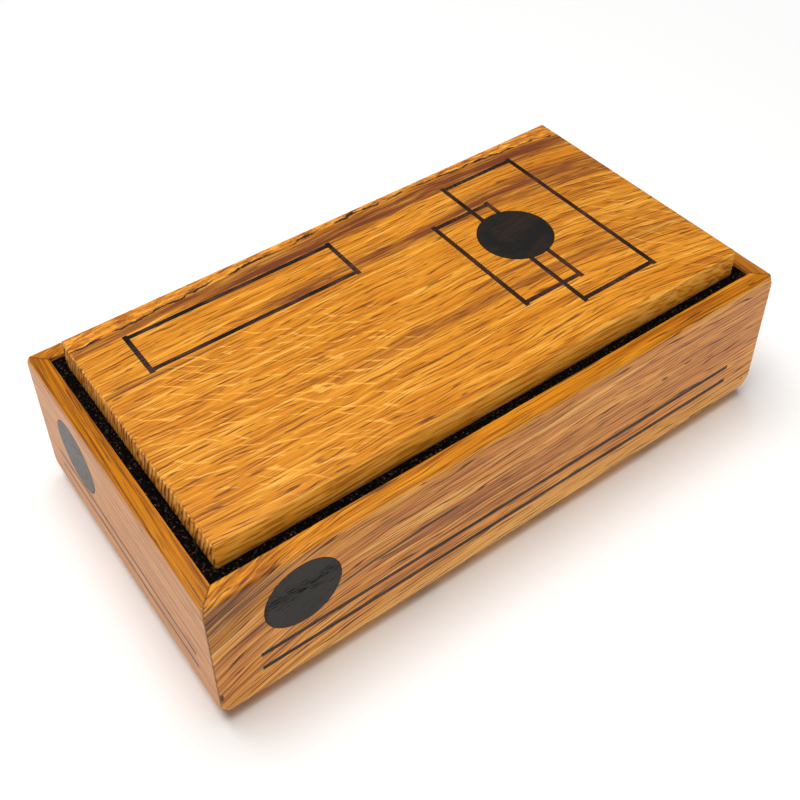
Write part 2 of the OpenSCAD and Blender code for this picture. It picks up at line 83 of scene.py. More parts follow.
# Oil-finished white oak, planed and sanded: growth rings as leaning planes, open pores as dark dashes
# along the grain, pale ray flecks across it, brown heart streaks, split sapwood beyond a seam, and a thin
# satin film that shines at a low angle
def oak(name, look):
    material, tree = newMaterial(name)
    place = addNode(tree, "TexCoord", out="Object")
    local = addNode(tree, "Mapping", {"Vector": place, "Location": look["offset"], "Scale": toMillimetres})
    along, across, through = [addNode(tree, "SeparateXYZ", {0: local}, out=axis) for axis in look["axes"]]
    plain = addNode(tree, "CombineXYZ", {0: along, 1: across, 2: through})

    # the rings lean to one side, run out along the board, wander, and bend towards its ends
    radial = addNode(tree, "Math", {0: through, 1: math.tan(look["lean"]), 2: across},
                     operation="MULTIPLY_ADD")
    radial = addNode(tree, "Math", {0: along, 1: look["runOut"], 2: radial}, operation="MULTIPLY_ADD")
    for size, shift in look["wander"]:
        wave = addNode(tree, "Mapping", {"Vector": plain, "Scale": [1 / s for s in size]})
        wave = addNode(tree, "TexNoise", {"Vector": wave, "Scale": 1, "Detail": 1})
        wave = addNode(tree, "Math", {0: wave, 1: noiseMiddle}, operation="SUBTRACT")
        radial = addNode(tree, "Math", {0: wave, 1: shift, 2: radial}, operation="MULTIPLY_ADD")
    for bend in look["bends"]:
        near = addNode(tree, "MapRange", {"Value": along, "From Min": bend["start"], "From Max": bend["end"]})
        near = addNode(tree, "Math", {0: near, 1: 2.0}, operation="POWER")  # grows with its square
        (fromAcross, fromRise), (toAcross, toRise) = bend["from"], bend["to"]
        rise = addNode(tree, "MapRange", {"Value": across, "From Min": fromAcross, "From Max": toAcross,
                                          "To Min": fromRise, "To Max": toRise})
        radial = addNode(tree, "Math", {0: near, 1: rise, 2: radial}, operation="MULTIPLY_ADD")
    grain = addNode(tree, "CombineXYZ", {0: along, 1: radial, 2: through})

    # growth rings of uneven width, fine fibres between them, and broad lighter and darker bands
    rings = addNode(tree, "Mapping", {"Vector": grain, "Scale": [1 / s for s in look["ringSize"]]})
    rings = addNode(tree, "TexNoise", {"Vector": rings, "Scale": 1, "Detail": 2, "Roughness": 0.5})
    rings = addNode(tree, "MapRange", {"Value": rings, "From Min": look["ringSpan"][0],
                                       "From Max": look["ringSpan"][1]})
    fibres = addNode(tree, "Mapping", {"Vector": grain, "Scale": [1 / s for s in look["fibreSize"]]})
    fibres = addNode(tree, "TexNoise", {"Vector": fibres, "Scale": 1, "Detail": 1, "Roughness": 0.5})
    fibres = addNode(tree, "MapRange", {"Value": fibres, "From Min": look["fibreSpan"][0],
                                        "From Max": look["fibreSpan"][1]})
    broad = addNode(tree, "Mapping", {"Vector": grain, "Scale": [1 / s for s in look["broadSize"]]})
    broad = addNode(tree, "TexNoise", {"Vector": broad, "Scale": 1, "Detail": 2})
    broad = addNode(tree, "Math", {0: broad, 1: noiseMiddle}, operation="SUBTRACT")
    tone = addNode(tree, "Mix", {0: look["fibreShare"], 2: rings, 3: fibres})
    tone = addNode(tree, "Math", {0: broad, 1: look["broadShare"], 2: tone}, operation="MULTIPLY_ADD",
                   use_clamp=True)
    colour = addNode(tree, "ValToRGB", {"Fac": tone}, stops=look["shades"])

    # streaks of another shade, each along a line of its own, full in the middle and gone at its width;
    # pale grain takes less of them, so it shows through
    broken = addNode(tree, "MapRange", {"Value": tone, "From Min": look["streakSpan"][0],
                                        "From Max": look["streakSpan"][1], "To Min": 1.0,
                                        "To Max": look["paleShare"]})
    for shade, at, slope, width, start, end, fade, strength in look["streaks"]:
        line = addNode(tree, "Math", {0: along, 1: -slope, 2: radial}, operation="MULTIPLY_ADD")
        line = addNode(tree, "Math", {0: line, 1: at}, operation="SUBTRACT")
        line = addNode(tree, "Math", {0: line, 1: 1 / width}, operation="MULTIPLY")
        line = addNode(tree, "Math", {0: line, 1: line}, operation="MULTIPLY")
        line = addNode(tree, "Math", {0: 1.0, 1: line}, operation="SUBTRACT", use_clamp=True)
        for edge, low, high in ((start, 0.0, 1.0), (end, 1.0, 0.0)):
            run = addNode(tree, "MapRange", {"Value": along, "From Min": edge - fade, "From Max": edge + fade,
                                             "To Min": low, "To Max": high}, interpolation_type="SMOOTHSTEP")
            line = addNode(tree, "Math", {0: line, 1: run}, operation="MULTIPLY")
        line = addNode(tree, "Math", {0: line, 1: broken}, operation="MULTIPLY")
        line = addNode(tree, "Math", {0: line, 1: strength}, operation="MULTIPLY")
        colour = addNode(tree, "Mix", {0: line, 6: colour, 7: shade}, out=2, data_type="RGBA")

    # a wall's upper face shows another cut through the rings, in a deeper orange; a lid's long edges get
    # painted light: lighter, yellower shades for the light they miss; pores and seam fade away there
    upward = addNode(tree, "TexCoord", out="Normal")
    upward = addNode(tree, "SeparateXYZ", {0: upward}, out=2)
    upward = addNode(tree, "MapRange", {"Value": upward, "From Min": look["upSpan"][0],
                                        "From Max": look["upSpan"][1]})
    if look["rimShades"]:
        rim = addNode(tree, "ValToRGB", {"Fac": tone}, stops=look["rimShades"])
        colour = addNode(tree, "Mix", {0: upward, 6: colour, 7: rim}, out=2, data_type="RGBA")
    whole = 1.0
    if look["paintedLightEdgeShades"]:
        sideways = addNode(tree, "TexCoord", out="Normal")
        sideways = addNode(tree, "SeparateXYZ", {0: sideways}, out=look["axes"][1])
        sideways = addNode(tree, "Math", {0: sideways}, operation="ABSOLUTE")
        sideways = addNode(tree, "MapRange", {"Value": sideways, "From Min": look["sideSpan"][0],
                                              "From Max": look["sideSpan"][1]})
        paintedLightFlank = addNode(tree, "ValToRGB", {"Fac": fibres}, stops=look["paintedLightEdgeShades"])
        colour = addNode(tree, "Mix", {0: sideways, 6: colour, 7: paintedLightFlank}, out=2, data_type="RGBA")
        whole = addNode(tree, "MapRange", {"Value": sideways, "To Min": 1.0, "To Max": look["edgeShare"]})

    # open pores: thin dark rows where a ring begins, each broken into dashes, and short pits between them
    rows = addNode(tree, "Mapping", {"Vector": grain, "Scale": [1 / s for s in look["rowSize"]]})
    rows = addNode(tree, "TexNoise", {"Vector": rows, "Scale": 1, "Detail": 1, "Roughness": 0.4})
    rows = addNode(tree, "Math", {0: rows, 1: look["rowWander"], 2: radial}, operation="MULTIPLY_ADD")
    rows = addNode(tree, "Math", {0: rows, 1: look["rowSpace"] / 2}, operation="PINGPONG")
    rows = addNode(tree, "MapRange", {"Value": rows, "From Min": look["rowWidth"],
                                      "From Max": look["rowWidth"] * look["core"]})
    dashes = addNode(tree, "Mapping", {"Vector": grain, "Scale": [1 / s for s in look["dashSize"]]})
    dashes = addNode(tree, "TexNoise", {"Vector": dashes, "Scale": 1, "Detail": 1.5, "Roughness": 0.5})
    dashes = addNode(tree, "MapRange", {"Value": dashes, "From Min": look["dashFrom"],
                                        "From Max": look["dashFrom"] + look["dashSoft"]})
    pores = addNode(tree, "Math", {0: rows, 1: dashes}, operation="MULTIPLY")
    pits = addNode(tree, "Mapping", {"Vector": grain, "Scale": [1 / s for s in look["pitSize"]]})
    pits = addNode(tree, "TexNoise", {"Vector": pits, "Scale": 1, "Detail": 1, "Roughness": 0.5})
    pits = addNode(tree, "MapRange", {"Value": pits, "From Min": look["pitFrom"],
                                      "From Max": look["pitFrom"] + look["pitSoft"],
                                      "To Max": look["pitStrength"]})
    pores = addNode(tree, "Math", {0: pores, 1: pits}, operation="MAXIMUM")
    tint = addNode(tree, "MapRange", {"Value": upward, "To Min": look["poreStrength"],
                                      "To Max": look["rimPoreStrength"]})
    tint = addNode(tree, "Math", {0: pores, 1: tint}, operation="MULTIPLY")
    tint = addNode(tree, "Math", {0: tint, 1: whole}, operation="MULTIPLY")
    colour = addNode(tree, "Mix", {0: tint, 6: colour, 7: look["poreShade"]}, out=2, data_type="RGBA")

    # pale ray flecks: thin wavy strokes that cross the grain in one patch, broken by the pores
    for fleck in look["flecks"]:
        reach = fleck["reach"]
        patch = addNode(tree, "Mapping", {"Vector": plain, "Scale": [1 / r for r in reach],
                                          "Location": [-m / r for m, r in zip(fleck["middle"], reach)]})
        patch = addNode(tree, "VectorMath", {0: patch}, out="Value", operation="LENGTH")
        patch = addNode(tree, "MapRange", {"Value": patch, "From Min": 1.0, "From Max": look["patchCore"]},
                        interpolation_type="SMOOTHSTEP")
        turned = addNode(tree, "Mapping", {"Vector": plain, "Rotation": (0, 0, fleck["turn"])})
        ripple = addNode(tree, "Mapping", {"Vector": turned, "Scale": [1 / s for s in fleck["waveSize"]]})
        ripple = addNode(tree, "TexNoise", {"Vector": ripple, "Scale": 1, "Detail": 2, "Roughness": 0.45})
        beside = addNode(tree, "SeparateXYZ", {0: turned}, out=1)
        beside = addNode(tree, "Math", {0: ripple, 1: fleck["wave"], 2: beside}, operation="MULTIPLY_ADD")
        beside = addNode(tree, "Math", {0: beside, 1: fleck["space"] / 2}, operation="PINGPONG")
        stroke = addNode(tree, "MapRange", {"Value": beside, "From Min": fleck["width"],
                                            "From Max": fleck["width"] * look["core"]})
        gaps = addNode(tree, "Mapping", {"Vector": turned, "Location": look["gapShift"],
                                         "Scale": [1 / s for s in fleck["gapSize"]]})
        gaps = addNode(tree, "TexNoise", {"Vector": gaps, "Scale": 1, "Detail": 1})
        gaps = addNode(tree, "MapRange", {"Value": gaps, "From Min": look["gapSpan"][0],
                                          "From Max": look["gapSpan"][1]})
        bare = addNode(tree, "MapRange", {"Value": pores, "To Min": fleck["strength"],
                                          "To Max": fleck["strength"] * look["overPores"]})
        for part in (gaps, patch, bare):
            stroke = addNode(tree, "Math", {0: stroke, 1: part}, operation="MULTIPLY")
        colour = addNode(tree, "Mix", {0: stroke, 6: colour, 7: look["fleckShade"]}, out=2, data_type="RGBA")

    # a jagged seam close to one edge, and rough mottled sapwood with fine splits beyond it
    height = addNode(tree, "Math", {0: pores, 1: -look["poreDepth"], 2: fibres}, operation="MULTIPLY_ADD")
    seam = look["seam"]
    if seam:
        jag = addNode(tree, "TexNoise", {"Vector": plain, "Scale": 1 / seam["jagSize"], "Detail": 3,
                                         "Roughness": 0.6})
        jag = addNode(tree, "Math", {0: jag, 1: noiseMiddle}, operation="SUBTRACT")
        gone = addNode(tree, "Math", {0: jag, 1: seam["jag"], 2: radial}, operation="MULTIPLY_ADD")
        gone = addNode(tree, "Math", {0: gone, 1: seam["at"]}, operation="SUBTRACT")
        mottle = addNode(tree, "Mapping", {"Vector": grain, "Scale": [1 / s for s in seam["mottleSize"]]})
        mottle = addNode(tree, "TexNoise", {"Vector": mottle, "Scale": 1, "Detail": 3, "Roughness": 0.65})
        sapwood = addNode(tree, "ValToRGB", {"Fac": mottle}, stops=seam["shades"])
        beyond = addNode(tree, "MapRange", {"Value": gone, "From Min": 0.0, "From Max": seam["blend"]})
        beyond = addNode(tree, "Math", {0: beyond, 1: whole}, operation="MULTIPLY")
        colour = addNode(tree, "Mix", {0: beyond, 6: colour, 7: sapwood}, out=2, data_type="RGBA")
        gape = addNode(tree, "Mapping", {"Vector": plain, "Scale": [1 / s for s in seam["gapeSize"]]})
        gape = addNode(tree, "TexNoise", {"Vector": gape, "Scale": 1, "Detail": 1})
        gape = addNode(tree, "MapRange", {"Value": gape, "From Min": seam["gapeSpan"][0],
                                          "From Max": seam["gapeSpan"][1], "To Max": seam["width"]})
        crack = addNode(tree, "Math", {0: gone}, operation="ABSOLUTE")
        crack = addNode(tree, "Math", {0: gape, 1: crack}, operation="SUBTRACT")
        crack = addNode(tree, "MapRange", {"Value": crack, "From Min": 0.0, "From Max": seam["soft"]})
        split = addNode(tree, "Math", {0: mottle, 1: noiseMiddle}, operation="SUBTRACT")
        split = addNode(tree, "Math", {0: split}, operation="ABSOLUTE")
        split = addNode(tree, "MapRange", {"Value": split, "From Min": seam["splitSpan"][0],
                                           "From Max": seam["splitSpan"][1]})
        split = addNode(tree, "Math", {0: split, 1: beyond}, operation="MULTIPLY")
        split = addNode(tree, "Math", {0: split, 1: gape}, operation="MULTIPLY")
        crack = addNode(tree, "Math", {0: crack, 1: split}, operation="MAXIMUM")
        crack = addNode(tree, "Math", {0: crack, 1: whole}, operation="MULTIPLY")
        colour = addNode(tree, "Mix", {0: crack, 6: colour, 7: seam["shade"]}, out=2, data_type="RGBA")
        height = addNode(tree, "Math", {0: crack, 1: -seam["depth"], 2: height}, operation="MULTIPLY_ADD")

    # small dark marks, each an ellipsoid round its middle
    for middle, reach, strength in look["marks"]:
        mark = addNode(tree, "Mapping", {"Vector": plain, "Scale": [1 / r for r in reach],
                                         "Location": [-m / r for m, r in zip(middle, reach)]})
        mark = addNode(tree, "VectorMath", {0: mark}, out="Value", operation="LENGTH")
        mark = addNode(tree, "MapRange", {"Value": mark, "From Min": 1.0, "From Max": look["markCore"],
                                          "To Max": strength})
        colour = addNode(tree, "Mix", {0: mark, 6: colour, 7: look["markShade"]}, out=2, data_type="RGBA")

    # the glue line where two walls meet at their mitres
    if look["mitre"]:
        edges = []
        for axis in (0, 1):
            side = addNode(tree, "SeparateXYZ", {0: place}, out=axis)
            side = addNode(tree, "Math", {0: side}, operation="ABSOLUTE")
            edges.append(addNode(tree, "Math", {0: cadHigh[axis], 1: side}, operation="SUBTRACT"))
        glue = addNode(tree, "Math", {0: edges[0], 1: edges[1]}, operation="SUBTRACT")
        glue = addNode(tree, "Math", {0: glue}, operation="ABSOLUTE")
        glue = addNode(tree, "MapRange", {"Value": glue, "From Min": look["mitre"] * mm, "From Max": 0.0,
                                          "To Max": look["mitreStrength"]})
        colour = addNode(tree, "Mix", {0: glue, 6: colour, 7: look["markShade"]}, out=2, data_type="RGBA")

    # end grain drinks more oil: darker, with the rings as bars
    facing = addNode(tree, "TexCoord", out="Normal")
    facing = addNode(tree, "SeparateXYZ", {0: facing}, out=look["axes"][0])
    facing = addNode(tree, "Math", {0: facing}, operation="ABSOLUTE")
    facing = addNode(tree, "MapRange", {"Value": facing, "From Min": look["endSpan"][0],
                                        "From Max": look["endSpan"][1]})
    bars = addNode(tree, "Math", {0: rings, 1: look["barWander"], 2: radial}, operation="MULTIPLY_ADD")
    bars = addNode(tree, "Math", {0: bars, 1: look["barSpace"] / 2}, operation="PINGPONG")
    bars = addNode(tree, "Math", {0: bars, 1: look["barSpace"] / 2}, operation="DIVIDE")
    bars = addNode(tree, "Mix", {0: look["barRings"], 2: bars, 3: rings})
    bars = addNode(tree, "ValToRGB", {"Fac": bars}, stops=look["endShades"])
    colour = addNode(tree, "Mix", {0: facing, 6: colour, 7: bars}, out=2, data_type="RGBA")

    # the oil film has a roughness of its own on the rim, and is rougher in the pores
    rough = addNode(tree, "MapRange", {"Value": upward, "To Min": look["rough"], "To Max": look["rimRough"]})
    rough = addNode(tree, "Math", {0: pores, 1: look["poreRough"], 2: rough}, operation="MULTIPLY_ADD")
    bump = addNode(tree, "Bump", {"Height": height, "Strength": look["bump"],
                                  "Distance": look["relief"] * mm})
    shader = addNode(tree, "BsdfPrincipled", {"Base Color": colour, "Roughness": rough, "IOR": woodIor,
                                              "Specular IOR Level": look["shine"], "Normal": bump})
    addNode(tree, "OutputMaterial", {"Surface": shader})
    return material


# sizes are in millimetres: along the grain, across the rings, through the board
# a span is where an effect starts and where it's full, in the value of a noise or a share of the normal
# a streak is its shade, its place across the rings, slope, width, start, end, fade and strength
# a mark is its middle, its reach each way and its strength
# an oak's pores are 0.3 mm wide, less than a pixel, so rows are drawn 0.5 mm wide (rowWidth is half of it)
# ray flecks are 0.2 to 0.5 mm wide and are drawn 0.9 mm wide, again twice their width value
brown, deepBrown, gold = "#743a1c", "#3f2412", "#eda53f"
lidOakLook = {
    "axes": (0, 1, 2), "offset": (0, 0, -73.4), "lean": math.radians(20), "runOut": 0.0,
    "wander": [((70, 24, 60), 4.0), ((20, 5, 16), 1.2), ((8, 2, 5), 0.45)],
    "bends": [{"start": 20, "end": -110, "from": (0, -2.0), "to": (48, 5.7)},
              {"start": 35, "end": 110, "from": (10, 9.0), "to": (48, 6.0)}],
    "ringSize": (60, 2.2, 7), "ringSpan": (0.36, 0.64),
    "fibreSize": (18, 0.8, 1.2), "fibreSpan": (0.34, 0.66), "fibreShare": 0.45,
    "broadSize": (80, 7, 30), "broadShare": 0.6,
    "shades": [(0.02, "#a66010"), (0.28, "#c87817"), (0.5, "#d5861d"), (0.74, "#e0952a"), (0.98, "#f3b04a")],
    "rimShades": None, "upSpan": (0.6, 0.8),
    # painted light: the long edges are shaded lighter and yellower than the top
    "paintedLightEdgeShades": [(0.1, "#c67e1e"), (0.4, "#f6a22e"), (0.6, "#fcac38"), (0.9, "#ffc254")],
    "sideSpan": (0.5, 0.9), "edgeShare": 0.2,  # what the long edges keep of pores and seam
    "endShades": [(0.15, "#63370e"), (0.4, "#c4782a"), (0.65, "#eea546"), (0.9, "#fcbc5e")],
    "endSpan": (0.6, 0.9), "barSpace": 2.2, "barWander": 0.9,
    "barRings": 0.4,  # the share of the rings themselves in the bars of the end grain
    "streakSpan": (0.15, 0.85), "paleShare": 0.4,  # what the palest grain takes of a streak
    "streaks": [
        (brown, 47.0, 0.0, 3.0, -125, 130, 5, 1.0), (brown, 44.0, 0.0, 4.5, -60, 104, 20, 1.4),
        (brown, 24.5, 0.0, 4.5, -45, 60, 16, 1.0), (brown, 28.0, 0.0, 6.0, 40, 130, 12, 1.0),
        (brown, 22.0, 0.0, 2.5, 64, 130, 8, 0.8), (brown, 18.9, 0.0, 1.2, -125, -70, 12, 1.2),
        (brown, -19.0, 0.0, 3.5, -35, 130, 25, 0.65), (brown, -12.0, 0.0, 1.5, 20, 90, 14, 0.5),
        (brown, 10.0, 0.0, 50, 60, 160, 40, 0.25),
    ],
    "flecks": [
        {"middle": (-62, -14, 0), "reach": (64, 46, 60), "turn": math.radians(28), "waveSize": (26, 9, 40),
         "wave": 15, "space": 3.8, "width": 0.46, "gapSize": (8, 3, 20), "strength": 0.68},
        {"middle": (100, -18, 0), "reach": (24, 46, 60), "turn": math.radians(44), "waveSize": (30, 12, 40),
         "wave": 11, "space": 5.0, "width": 0.5, "gapSize": (6, 3, 20), "strength": 0.35},
    ],
    "fleckShade": "#fcba52", "patchCore": 0.6, "gapShift": (7, 3, 0), "gapSpan": (0.44, 0.54),
    "overPores": 0.4,  # what a pore leaves of a fleck
    "rowSize": (24, 3.2, 6), "rowWander": 4.4, "rowSpace": 1.6, "rowWidth": 0.27,
    "core": 0.4,  # the share of a row's or a fleck's width that has its full strength
    "dashSize": (12, 1.3, 2), "dashFrom": 0.45, "dashSoft": 0.08,
    "pitSize": (8, 0.6, 1), "pitFrom": 0.65, "pitSoft": 0.06, "pitStrength": 0.7,
    "poreStrength": 0.8, "rimPoreStrength": 0.8, "poreShade": "#5a2a05",
    "seam": {"at": 49.6, "jag": 5.0, "jagSize": 8, "blend": 0.5, "soft": 0.3, "width": 0.7, "depth": 6.0,
             "gapeSize": (9, 6, 9), "gapeSpan": (0.33, 0.55), "splitSpan": (0.016, 0.004),
             "mottleSize": (7, 1.5, 2), "shade": "#38200c",
             "shades": [(0.34, "#7d400c"), (0.44, "#c0701a"), (0.56, "#e29229"), (0.7, "#f6b14c")]},
    "marks": [], "markShade": "#331a09", "markCore": 0.5, "mitre": None, "mitreStrength": 0.85,
    "rough": 0.38, "rimRough": 0.38, "poreRough": 0.2, "shine": 0.25,
    "poreDepth": 1.5, "bump": 0.4, "relief": 0.05,
}

frontOakLook = dict(
    lidOakLook, axes=(0, 2, 1), offset=(0, 63.5, 0), lean=math.radians(50), seam=None, flecks=[],
    wander=[((90, 24, 60), 4.0), ((30, 6, 16), 1.0), ((12, 2, 5), 0.35)], fibreSize=(34, 0.7, 1.2),
    bends=[{"start": -62, "end": -121, "from": (0, 13.0), "to": (60, 13.0)},
           {"start": 70, "end": -121, "from": (0, 6.0), "to": (60, 6.0)}],
    broadShare=1.1, shine=0.24, paintedLightEdgeShades=None,
    # the wall's shades are its oak colour with part of its sheen painted in, paler and greyer than the lid's
    shades=[(0.04, "#a85d23"), (0.28, "#ce7e2c"), (0.5, "#e59036"), (0.72, "#f2a040"), (0.96, "#ffc464")],
    rimShades=[(0.1, "#8f4d04"), (0.5, "#c17509"), (0.9, "#dc8f14")],
    streaks=[
        # the second streak here is painted light: a pale band along the foot of the wall, for light bounced
        # from the floor
        (brown, 36.5, 0.0, 9.0, -40, 130, 30, 0.35), ("#ffbc5e", 4.0, 0.0, 15.0, -130, 130, 20, 1.5),
        # painted light: a broad pale wash over the right end of the wall
        ("#fca242", 32.0, 0.0, 40.0, 40, 170, 40, 0.4),
        ("#5c3314", 74.0, 0.0, 18.0, -130, -95, 14, 1.0),
        (gold, 10.5, 0.0, 3.5, 30, 118, 20, 0.7), ("#d98a1c", 63.0, 0.0, 4.5, -130, 130, 10, 1.1),
        (gold, 29.0, 0.0, 3.0, -125, -90, 12, 0.6), (deepBrown, 43.0, 0.035, 0.9, -77, -28, 7, 2.0),
    ],
    rowSpace=1.8, rowWidth=0.28, dashSize=(22, 1.3, 2), dashFrom=0.43, pitSize=(14, 0.42, 1), pitFrom=0.66,
    poreStrength=0.95, poreShade="#4e2410", mitre=0.5,
    marks=[((-119.7, 16.0, 0), (0.9, 2.4, 6), 0.95), ((116.0, 12.0, 0), (0.9, 0.7, 3), 0.8),
           ((92.0, 38.4, 0), (2.2, 0.6, 3), 0.8), ((65.2, 25.0, 0), (2.0, 1.2, 3), 0.8)])

leftOakLook = dict(
    frontOakLook, axes=(1, 2, 0), offset=(120.65, 0, 0), runOut=-0.07, bends=[], lean=math.radians(65),
    broadShare=0.35, shine=0.46, rimRough=0.25, marks=[],
    shades=[(0.0, "#b56a22"), (0.5, "#d58528"), (1.0, "#e29a3c")],
    rimShades=[(0.1, "#753f00"), (0.45, "#b36900"), (0.9, "#c97d02")],
    streaks=[(brown, 63.0, 0.0, 2.0, -70, 70, 5, 0.5)],
    dashFrom=0.42, pitFrom=0.7, poreStrength=0.4, rimPoreStrength=1.0)

bottomOakLook = dict(lidOakLook, bends=[], streaks=[], flecks=[], seam=None, offset=(0, 0, 0))

finishPiece(["lid_panel"], oak("OiledOakLid", lidOakLook))
finishPiece(["front_wall", "back_wall"], oak("OiledOakWall", frontOakLook))
finishPiece(["left_wall", "right_wall"], oak("OiledOakEndWall", leftOakLook))
finishPiece(["bottom_panel"], oak("OiledOakBottom", bottomOakLook))
print("oak done")


# Wenge, sanded and oiled: nearly black, with fine brown lines and open black pores along the grain
def wenge(name, look):
    material, tree = newMaterial(name)
    place = addNode(tree, "TexCoord", out="Object")
    local = addNode(tree, "Mapping", {"Vector": place, "Scale": toMillimetres})
    lines = addNode(tree, "Mapping", {"Vector": local, "Scale": [1 / s for s in look["lineSize"]]})
    lines = addNode(tree, "TexNoise", {"Vector": lines, "Scale": 1, "Detail": 3, "Roughness": 0.6})
    lines = addNode(tree, "MapRange", {"Value": lines, "From Min": look["lineSpan"][0],
                                       "From Max": look["lineSpan"][1]})
    patches = addNode(tree, "TexNoise", {"Vector": local, "Scale": 1 / look["patchSize"], "Detail": 1})
    patches = addNode(tree, "MapRange", {"Value": patches, "From Min": look["patchSpan"][0],
                                         "From Max": look["patchSpan"][1]})
    lighter = addNode(tree, "Math", {0: lines, 1: patches}, operation="MULTIPLY")
    colour = addNode(tree, "Mix", {0: lighter, 6: look["dark"], 7: look["brown"]}, out=2, data_type="RGBA")
    pores = addNode(tree, "Mapping", {"Vector": local, "Scale": [1 / s for s in look["poreSize"]]})
    pores = addNode(tree, "TexNoise", {"Vector": pores, "Scale": 1, "Detail": 2, "Roughness": 0.6})
    # a disc may have one vein where the pores stand close
    if look["vein"]:
        axis, middle, reach, gain = look["vein"]
        vein = addNode(tree, "SeparateXYZ", {0: local}, out=axis)
        vein = addNode(tree, "Math", {0: vein, 1: middle}, operation="SUBTRACT")
        vein = addNode(tree, "Math", {0: vein}, operation="ABSOLUTE")
        vein = addNode(tree, "MapRange", {"Value": vein, "From Min": reach, "From Max": 0.0, "To Max": gain})
        pores = addNode(tree, "Math", {0: pores, 1: vein}, operation="ADD")
    pores = addNode(tree, "MapRange", {"Value": pores, "From Min": look["poreFrom"],
                                       "From Max": look["poreFrom"] + look["poreSoft"]})
    colour = addNode(tree, "Mix", {0: pores, 6: colour, 7: look["pore"]}, out=2, data_type="RGBA")
    bump = addNode(tree, "Bump", {"Height": pores, "Strength": look["bump"],
                                  "Distance": look["relief"] * mm}, invert=True)
    rough = addNode(tree, "MapRange", {"Value": pores, "To Min": look["rough"], "To Max": look["poreRough"]})
    shader = addNode(tree, "BsdfPrincipled", {"Base Color": colour, "Roughness": rough, "IOR": woodIor,
                                              "Specular IOR Level": look["shine"], "Normal": bump})
    addNode(tree, "OutputMaterial", {"Surface": shader})
    return material


# wenge's pores are 0.2 mm wide and its lines thinner still: both are drawn about 0.5 mm wide so they show
# a vein is its axis, its middle, its reach and what it adds to the pores
discLook = {"dark": "#171614", "brown": "#332318", "pore": "#010101",
            "lineSize": (9, 0.5, 0.5), "lineSpan": (0.35, 0.7), "patchSize": 10, "patchSpan": (0.36, 0.58),
            "poreSize": (7, 0.42, 0.5), "poreFrom": 0.62, "poreSoft": 0.05, "vein": None,
            "rough": 0.4, "poreRough": 0.8, "shine": 0.25, "bump": 0.5, "relief": 0.05}
# the front disc is greyer and lighter under a weaker shine: wenge's own dark with part of its sheen painted
# in
frontDiscLook = dict(discLook, dark="#2e2e2c", brown="#352f29", poreSize=(5, 0.5, 0.42),
                     vein=(2, 47.0, 5.5, 0.14), shine=0.11)
endDiscLook = dict(discLook, lineSize=(0.5, 9, 0.5), poreSize=(0.5, 4, 0.5), dark="#27261c", shine=0.33)
stringLook = dict(discLook, dark="#110a0b", brown="#5c3a2c", pore="#040202", lineSize=(9, 0.7, 0.7),
                  patchSize=18, poreSize=(2.5, 0.4, 0.4), poreFrom=0.61, rough=0.42, shine=0.2)
crossStringLook = dict(stringLook, lineSize=(0.7, 9, 0.7), poreSize=(0.4, 2.5, 0.4), dark="#1c0f0b")
brownStringLook = dict(crossStringLook, dark="#2e1910", brown="#6a3d26")
# the end walls' strings are lighter brown: their own brown with part of the end walls' sheen painted in
endStringLook = dict(crossStringLook, dark="#4a2a17", brown="#8a5730")
finishPiece(["lid_disc"], wenge("OiledWengeDisc", discLook))
finishPiece(["front_disc"], wenge("OiledWengeFrontDisc", frontDiscLook))
finishPiece(["left_disc"], wenge("OiledWengeEndDisc", endDiscLook))
finishPiece(["front_lines", "back_lines", "long_figure"], wenge("OiledWengeString", stringLook))
finishPiece(["large_figure"], wenge("OiledWengeCrossString", crossStringLook))
finishPiece(["left_lines", "right_lines"], wenge("OiledWengeEndString", endStringLook))
finishPiece(["small_figure"], wenge("OiledWengeBrownString", brownStringLook))
print("wenge done")


# Ebonised softwood: stained black and left rough from the saw, so brown specks show through a dull black
def ebonised(name, look):
    material, tree = newMaterial(name)
    place = addNode(tree, "TexCoord", out="Object")
    local = addNode(tree, "Mapping", {"Vector": place, "Scale": toMillimetres})
    specks = addNode(tree, "TexNoise", {"Vector": local, "Scale": 1 / look["speckSize"], "Detail": 3,
                                        "Roughness": 0.7})
    specks = addNode(tree, "MapRange", {"Value": specks, "From Min": look["speckSpan"][0],
                                        "From Max": look["speckSpan"][1]})
    colour = addNode(tree, "Mix", {0: specks, 6: look["black"], 7: look["speck"]}, out=2, data_type="RGBA")
    bump = addNode(tree, "Bump", {"Height": specks, "Strength": look["bump"],
                                  "Distance": look["relief"] * mm})
    shader = addNode(tree, "BsdfPrincipled", {"Base Color": colour, "Roughness": look["rough"],
                                              "IOR": woodIor, "Specular IOR Level": look["shine"],
                                              "Normal": bump})
    addNode(tree, "OutputMaterial", {"Surface": shader})
    return material


# torn fibres are 0.2 to 0.4 mm across, and the specks of them are drawn from a 0.9 mm noise so they show
lidBaseLook = {"speckSize": 0.9, "speckSpan": (0.57, 0.7), "black": "#030202", "speck": "#5a4432",
               "rough": 0.9, "shine": 0.05, "bump": 0.5, "relief": 0.1}
finishPiece(["lid_base"], ebonised("EbonisedSawnWood", lidBaseLook))
print("ebonised wood done")


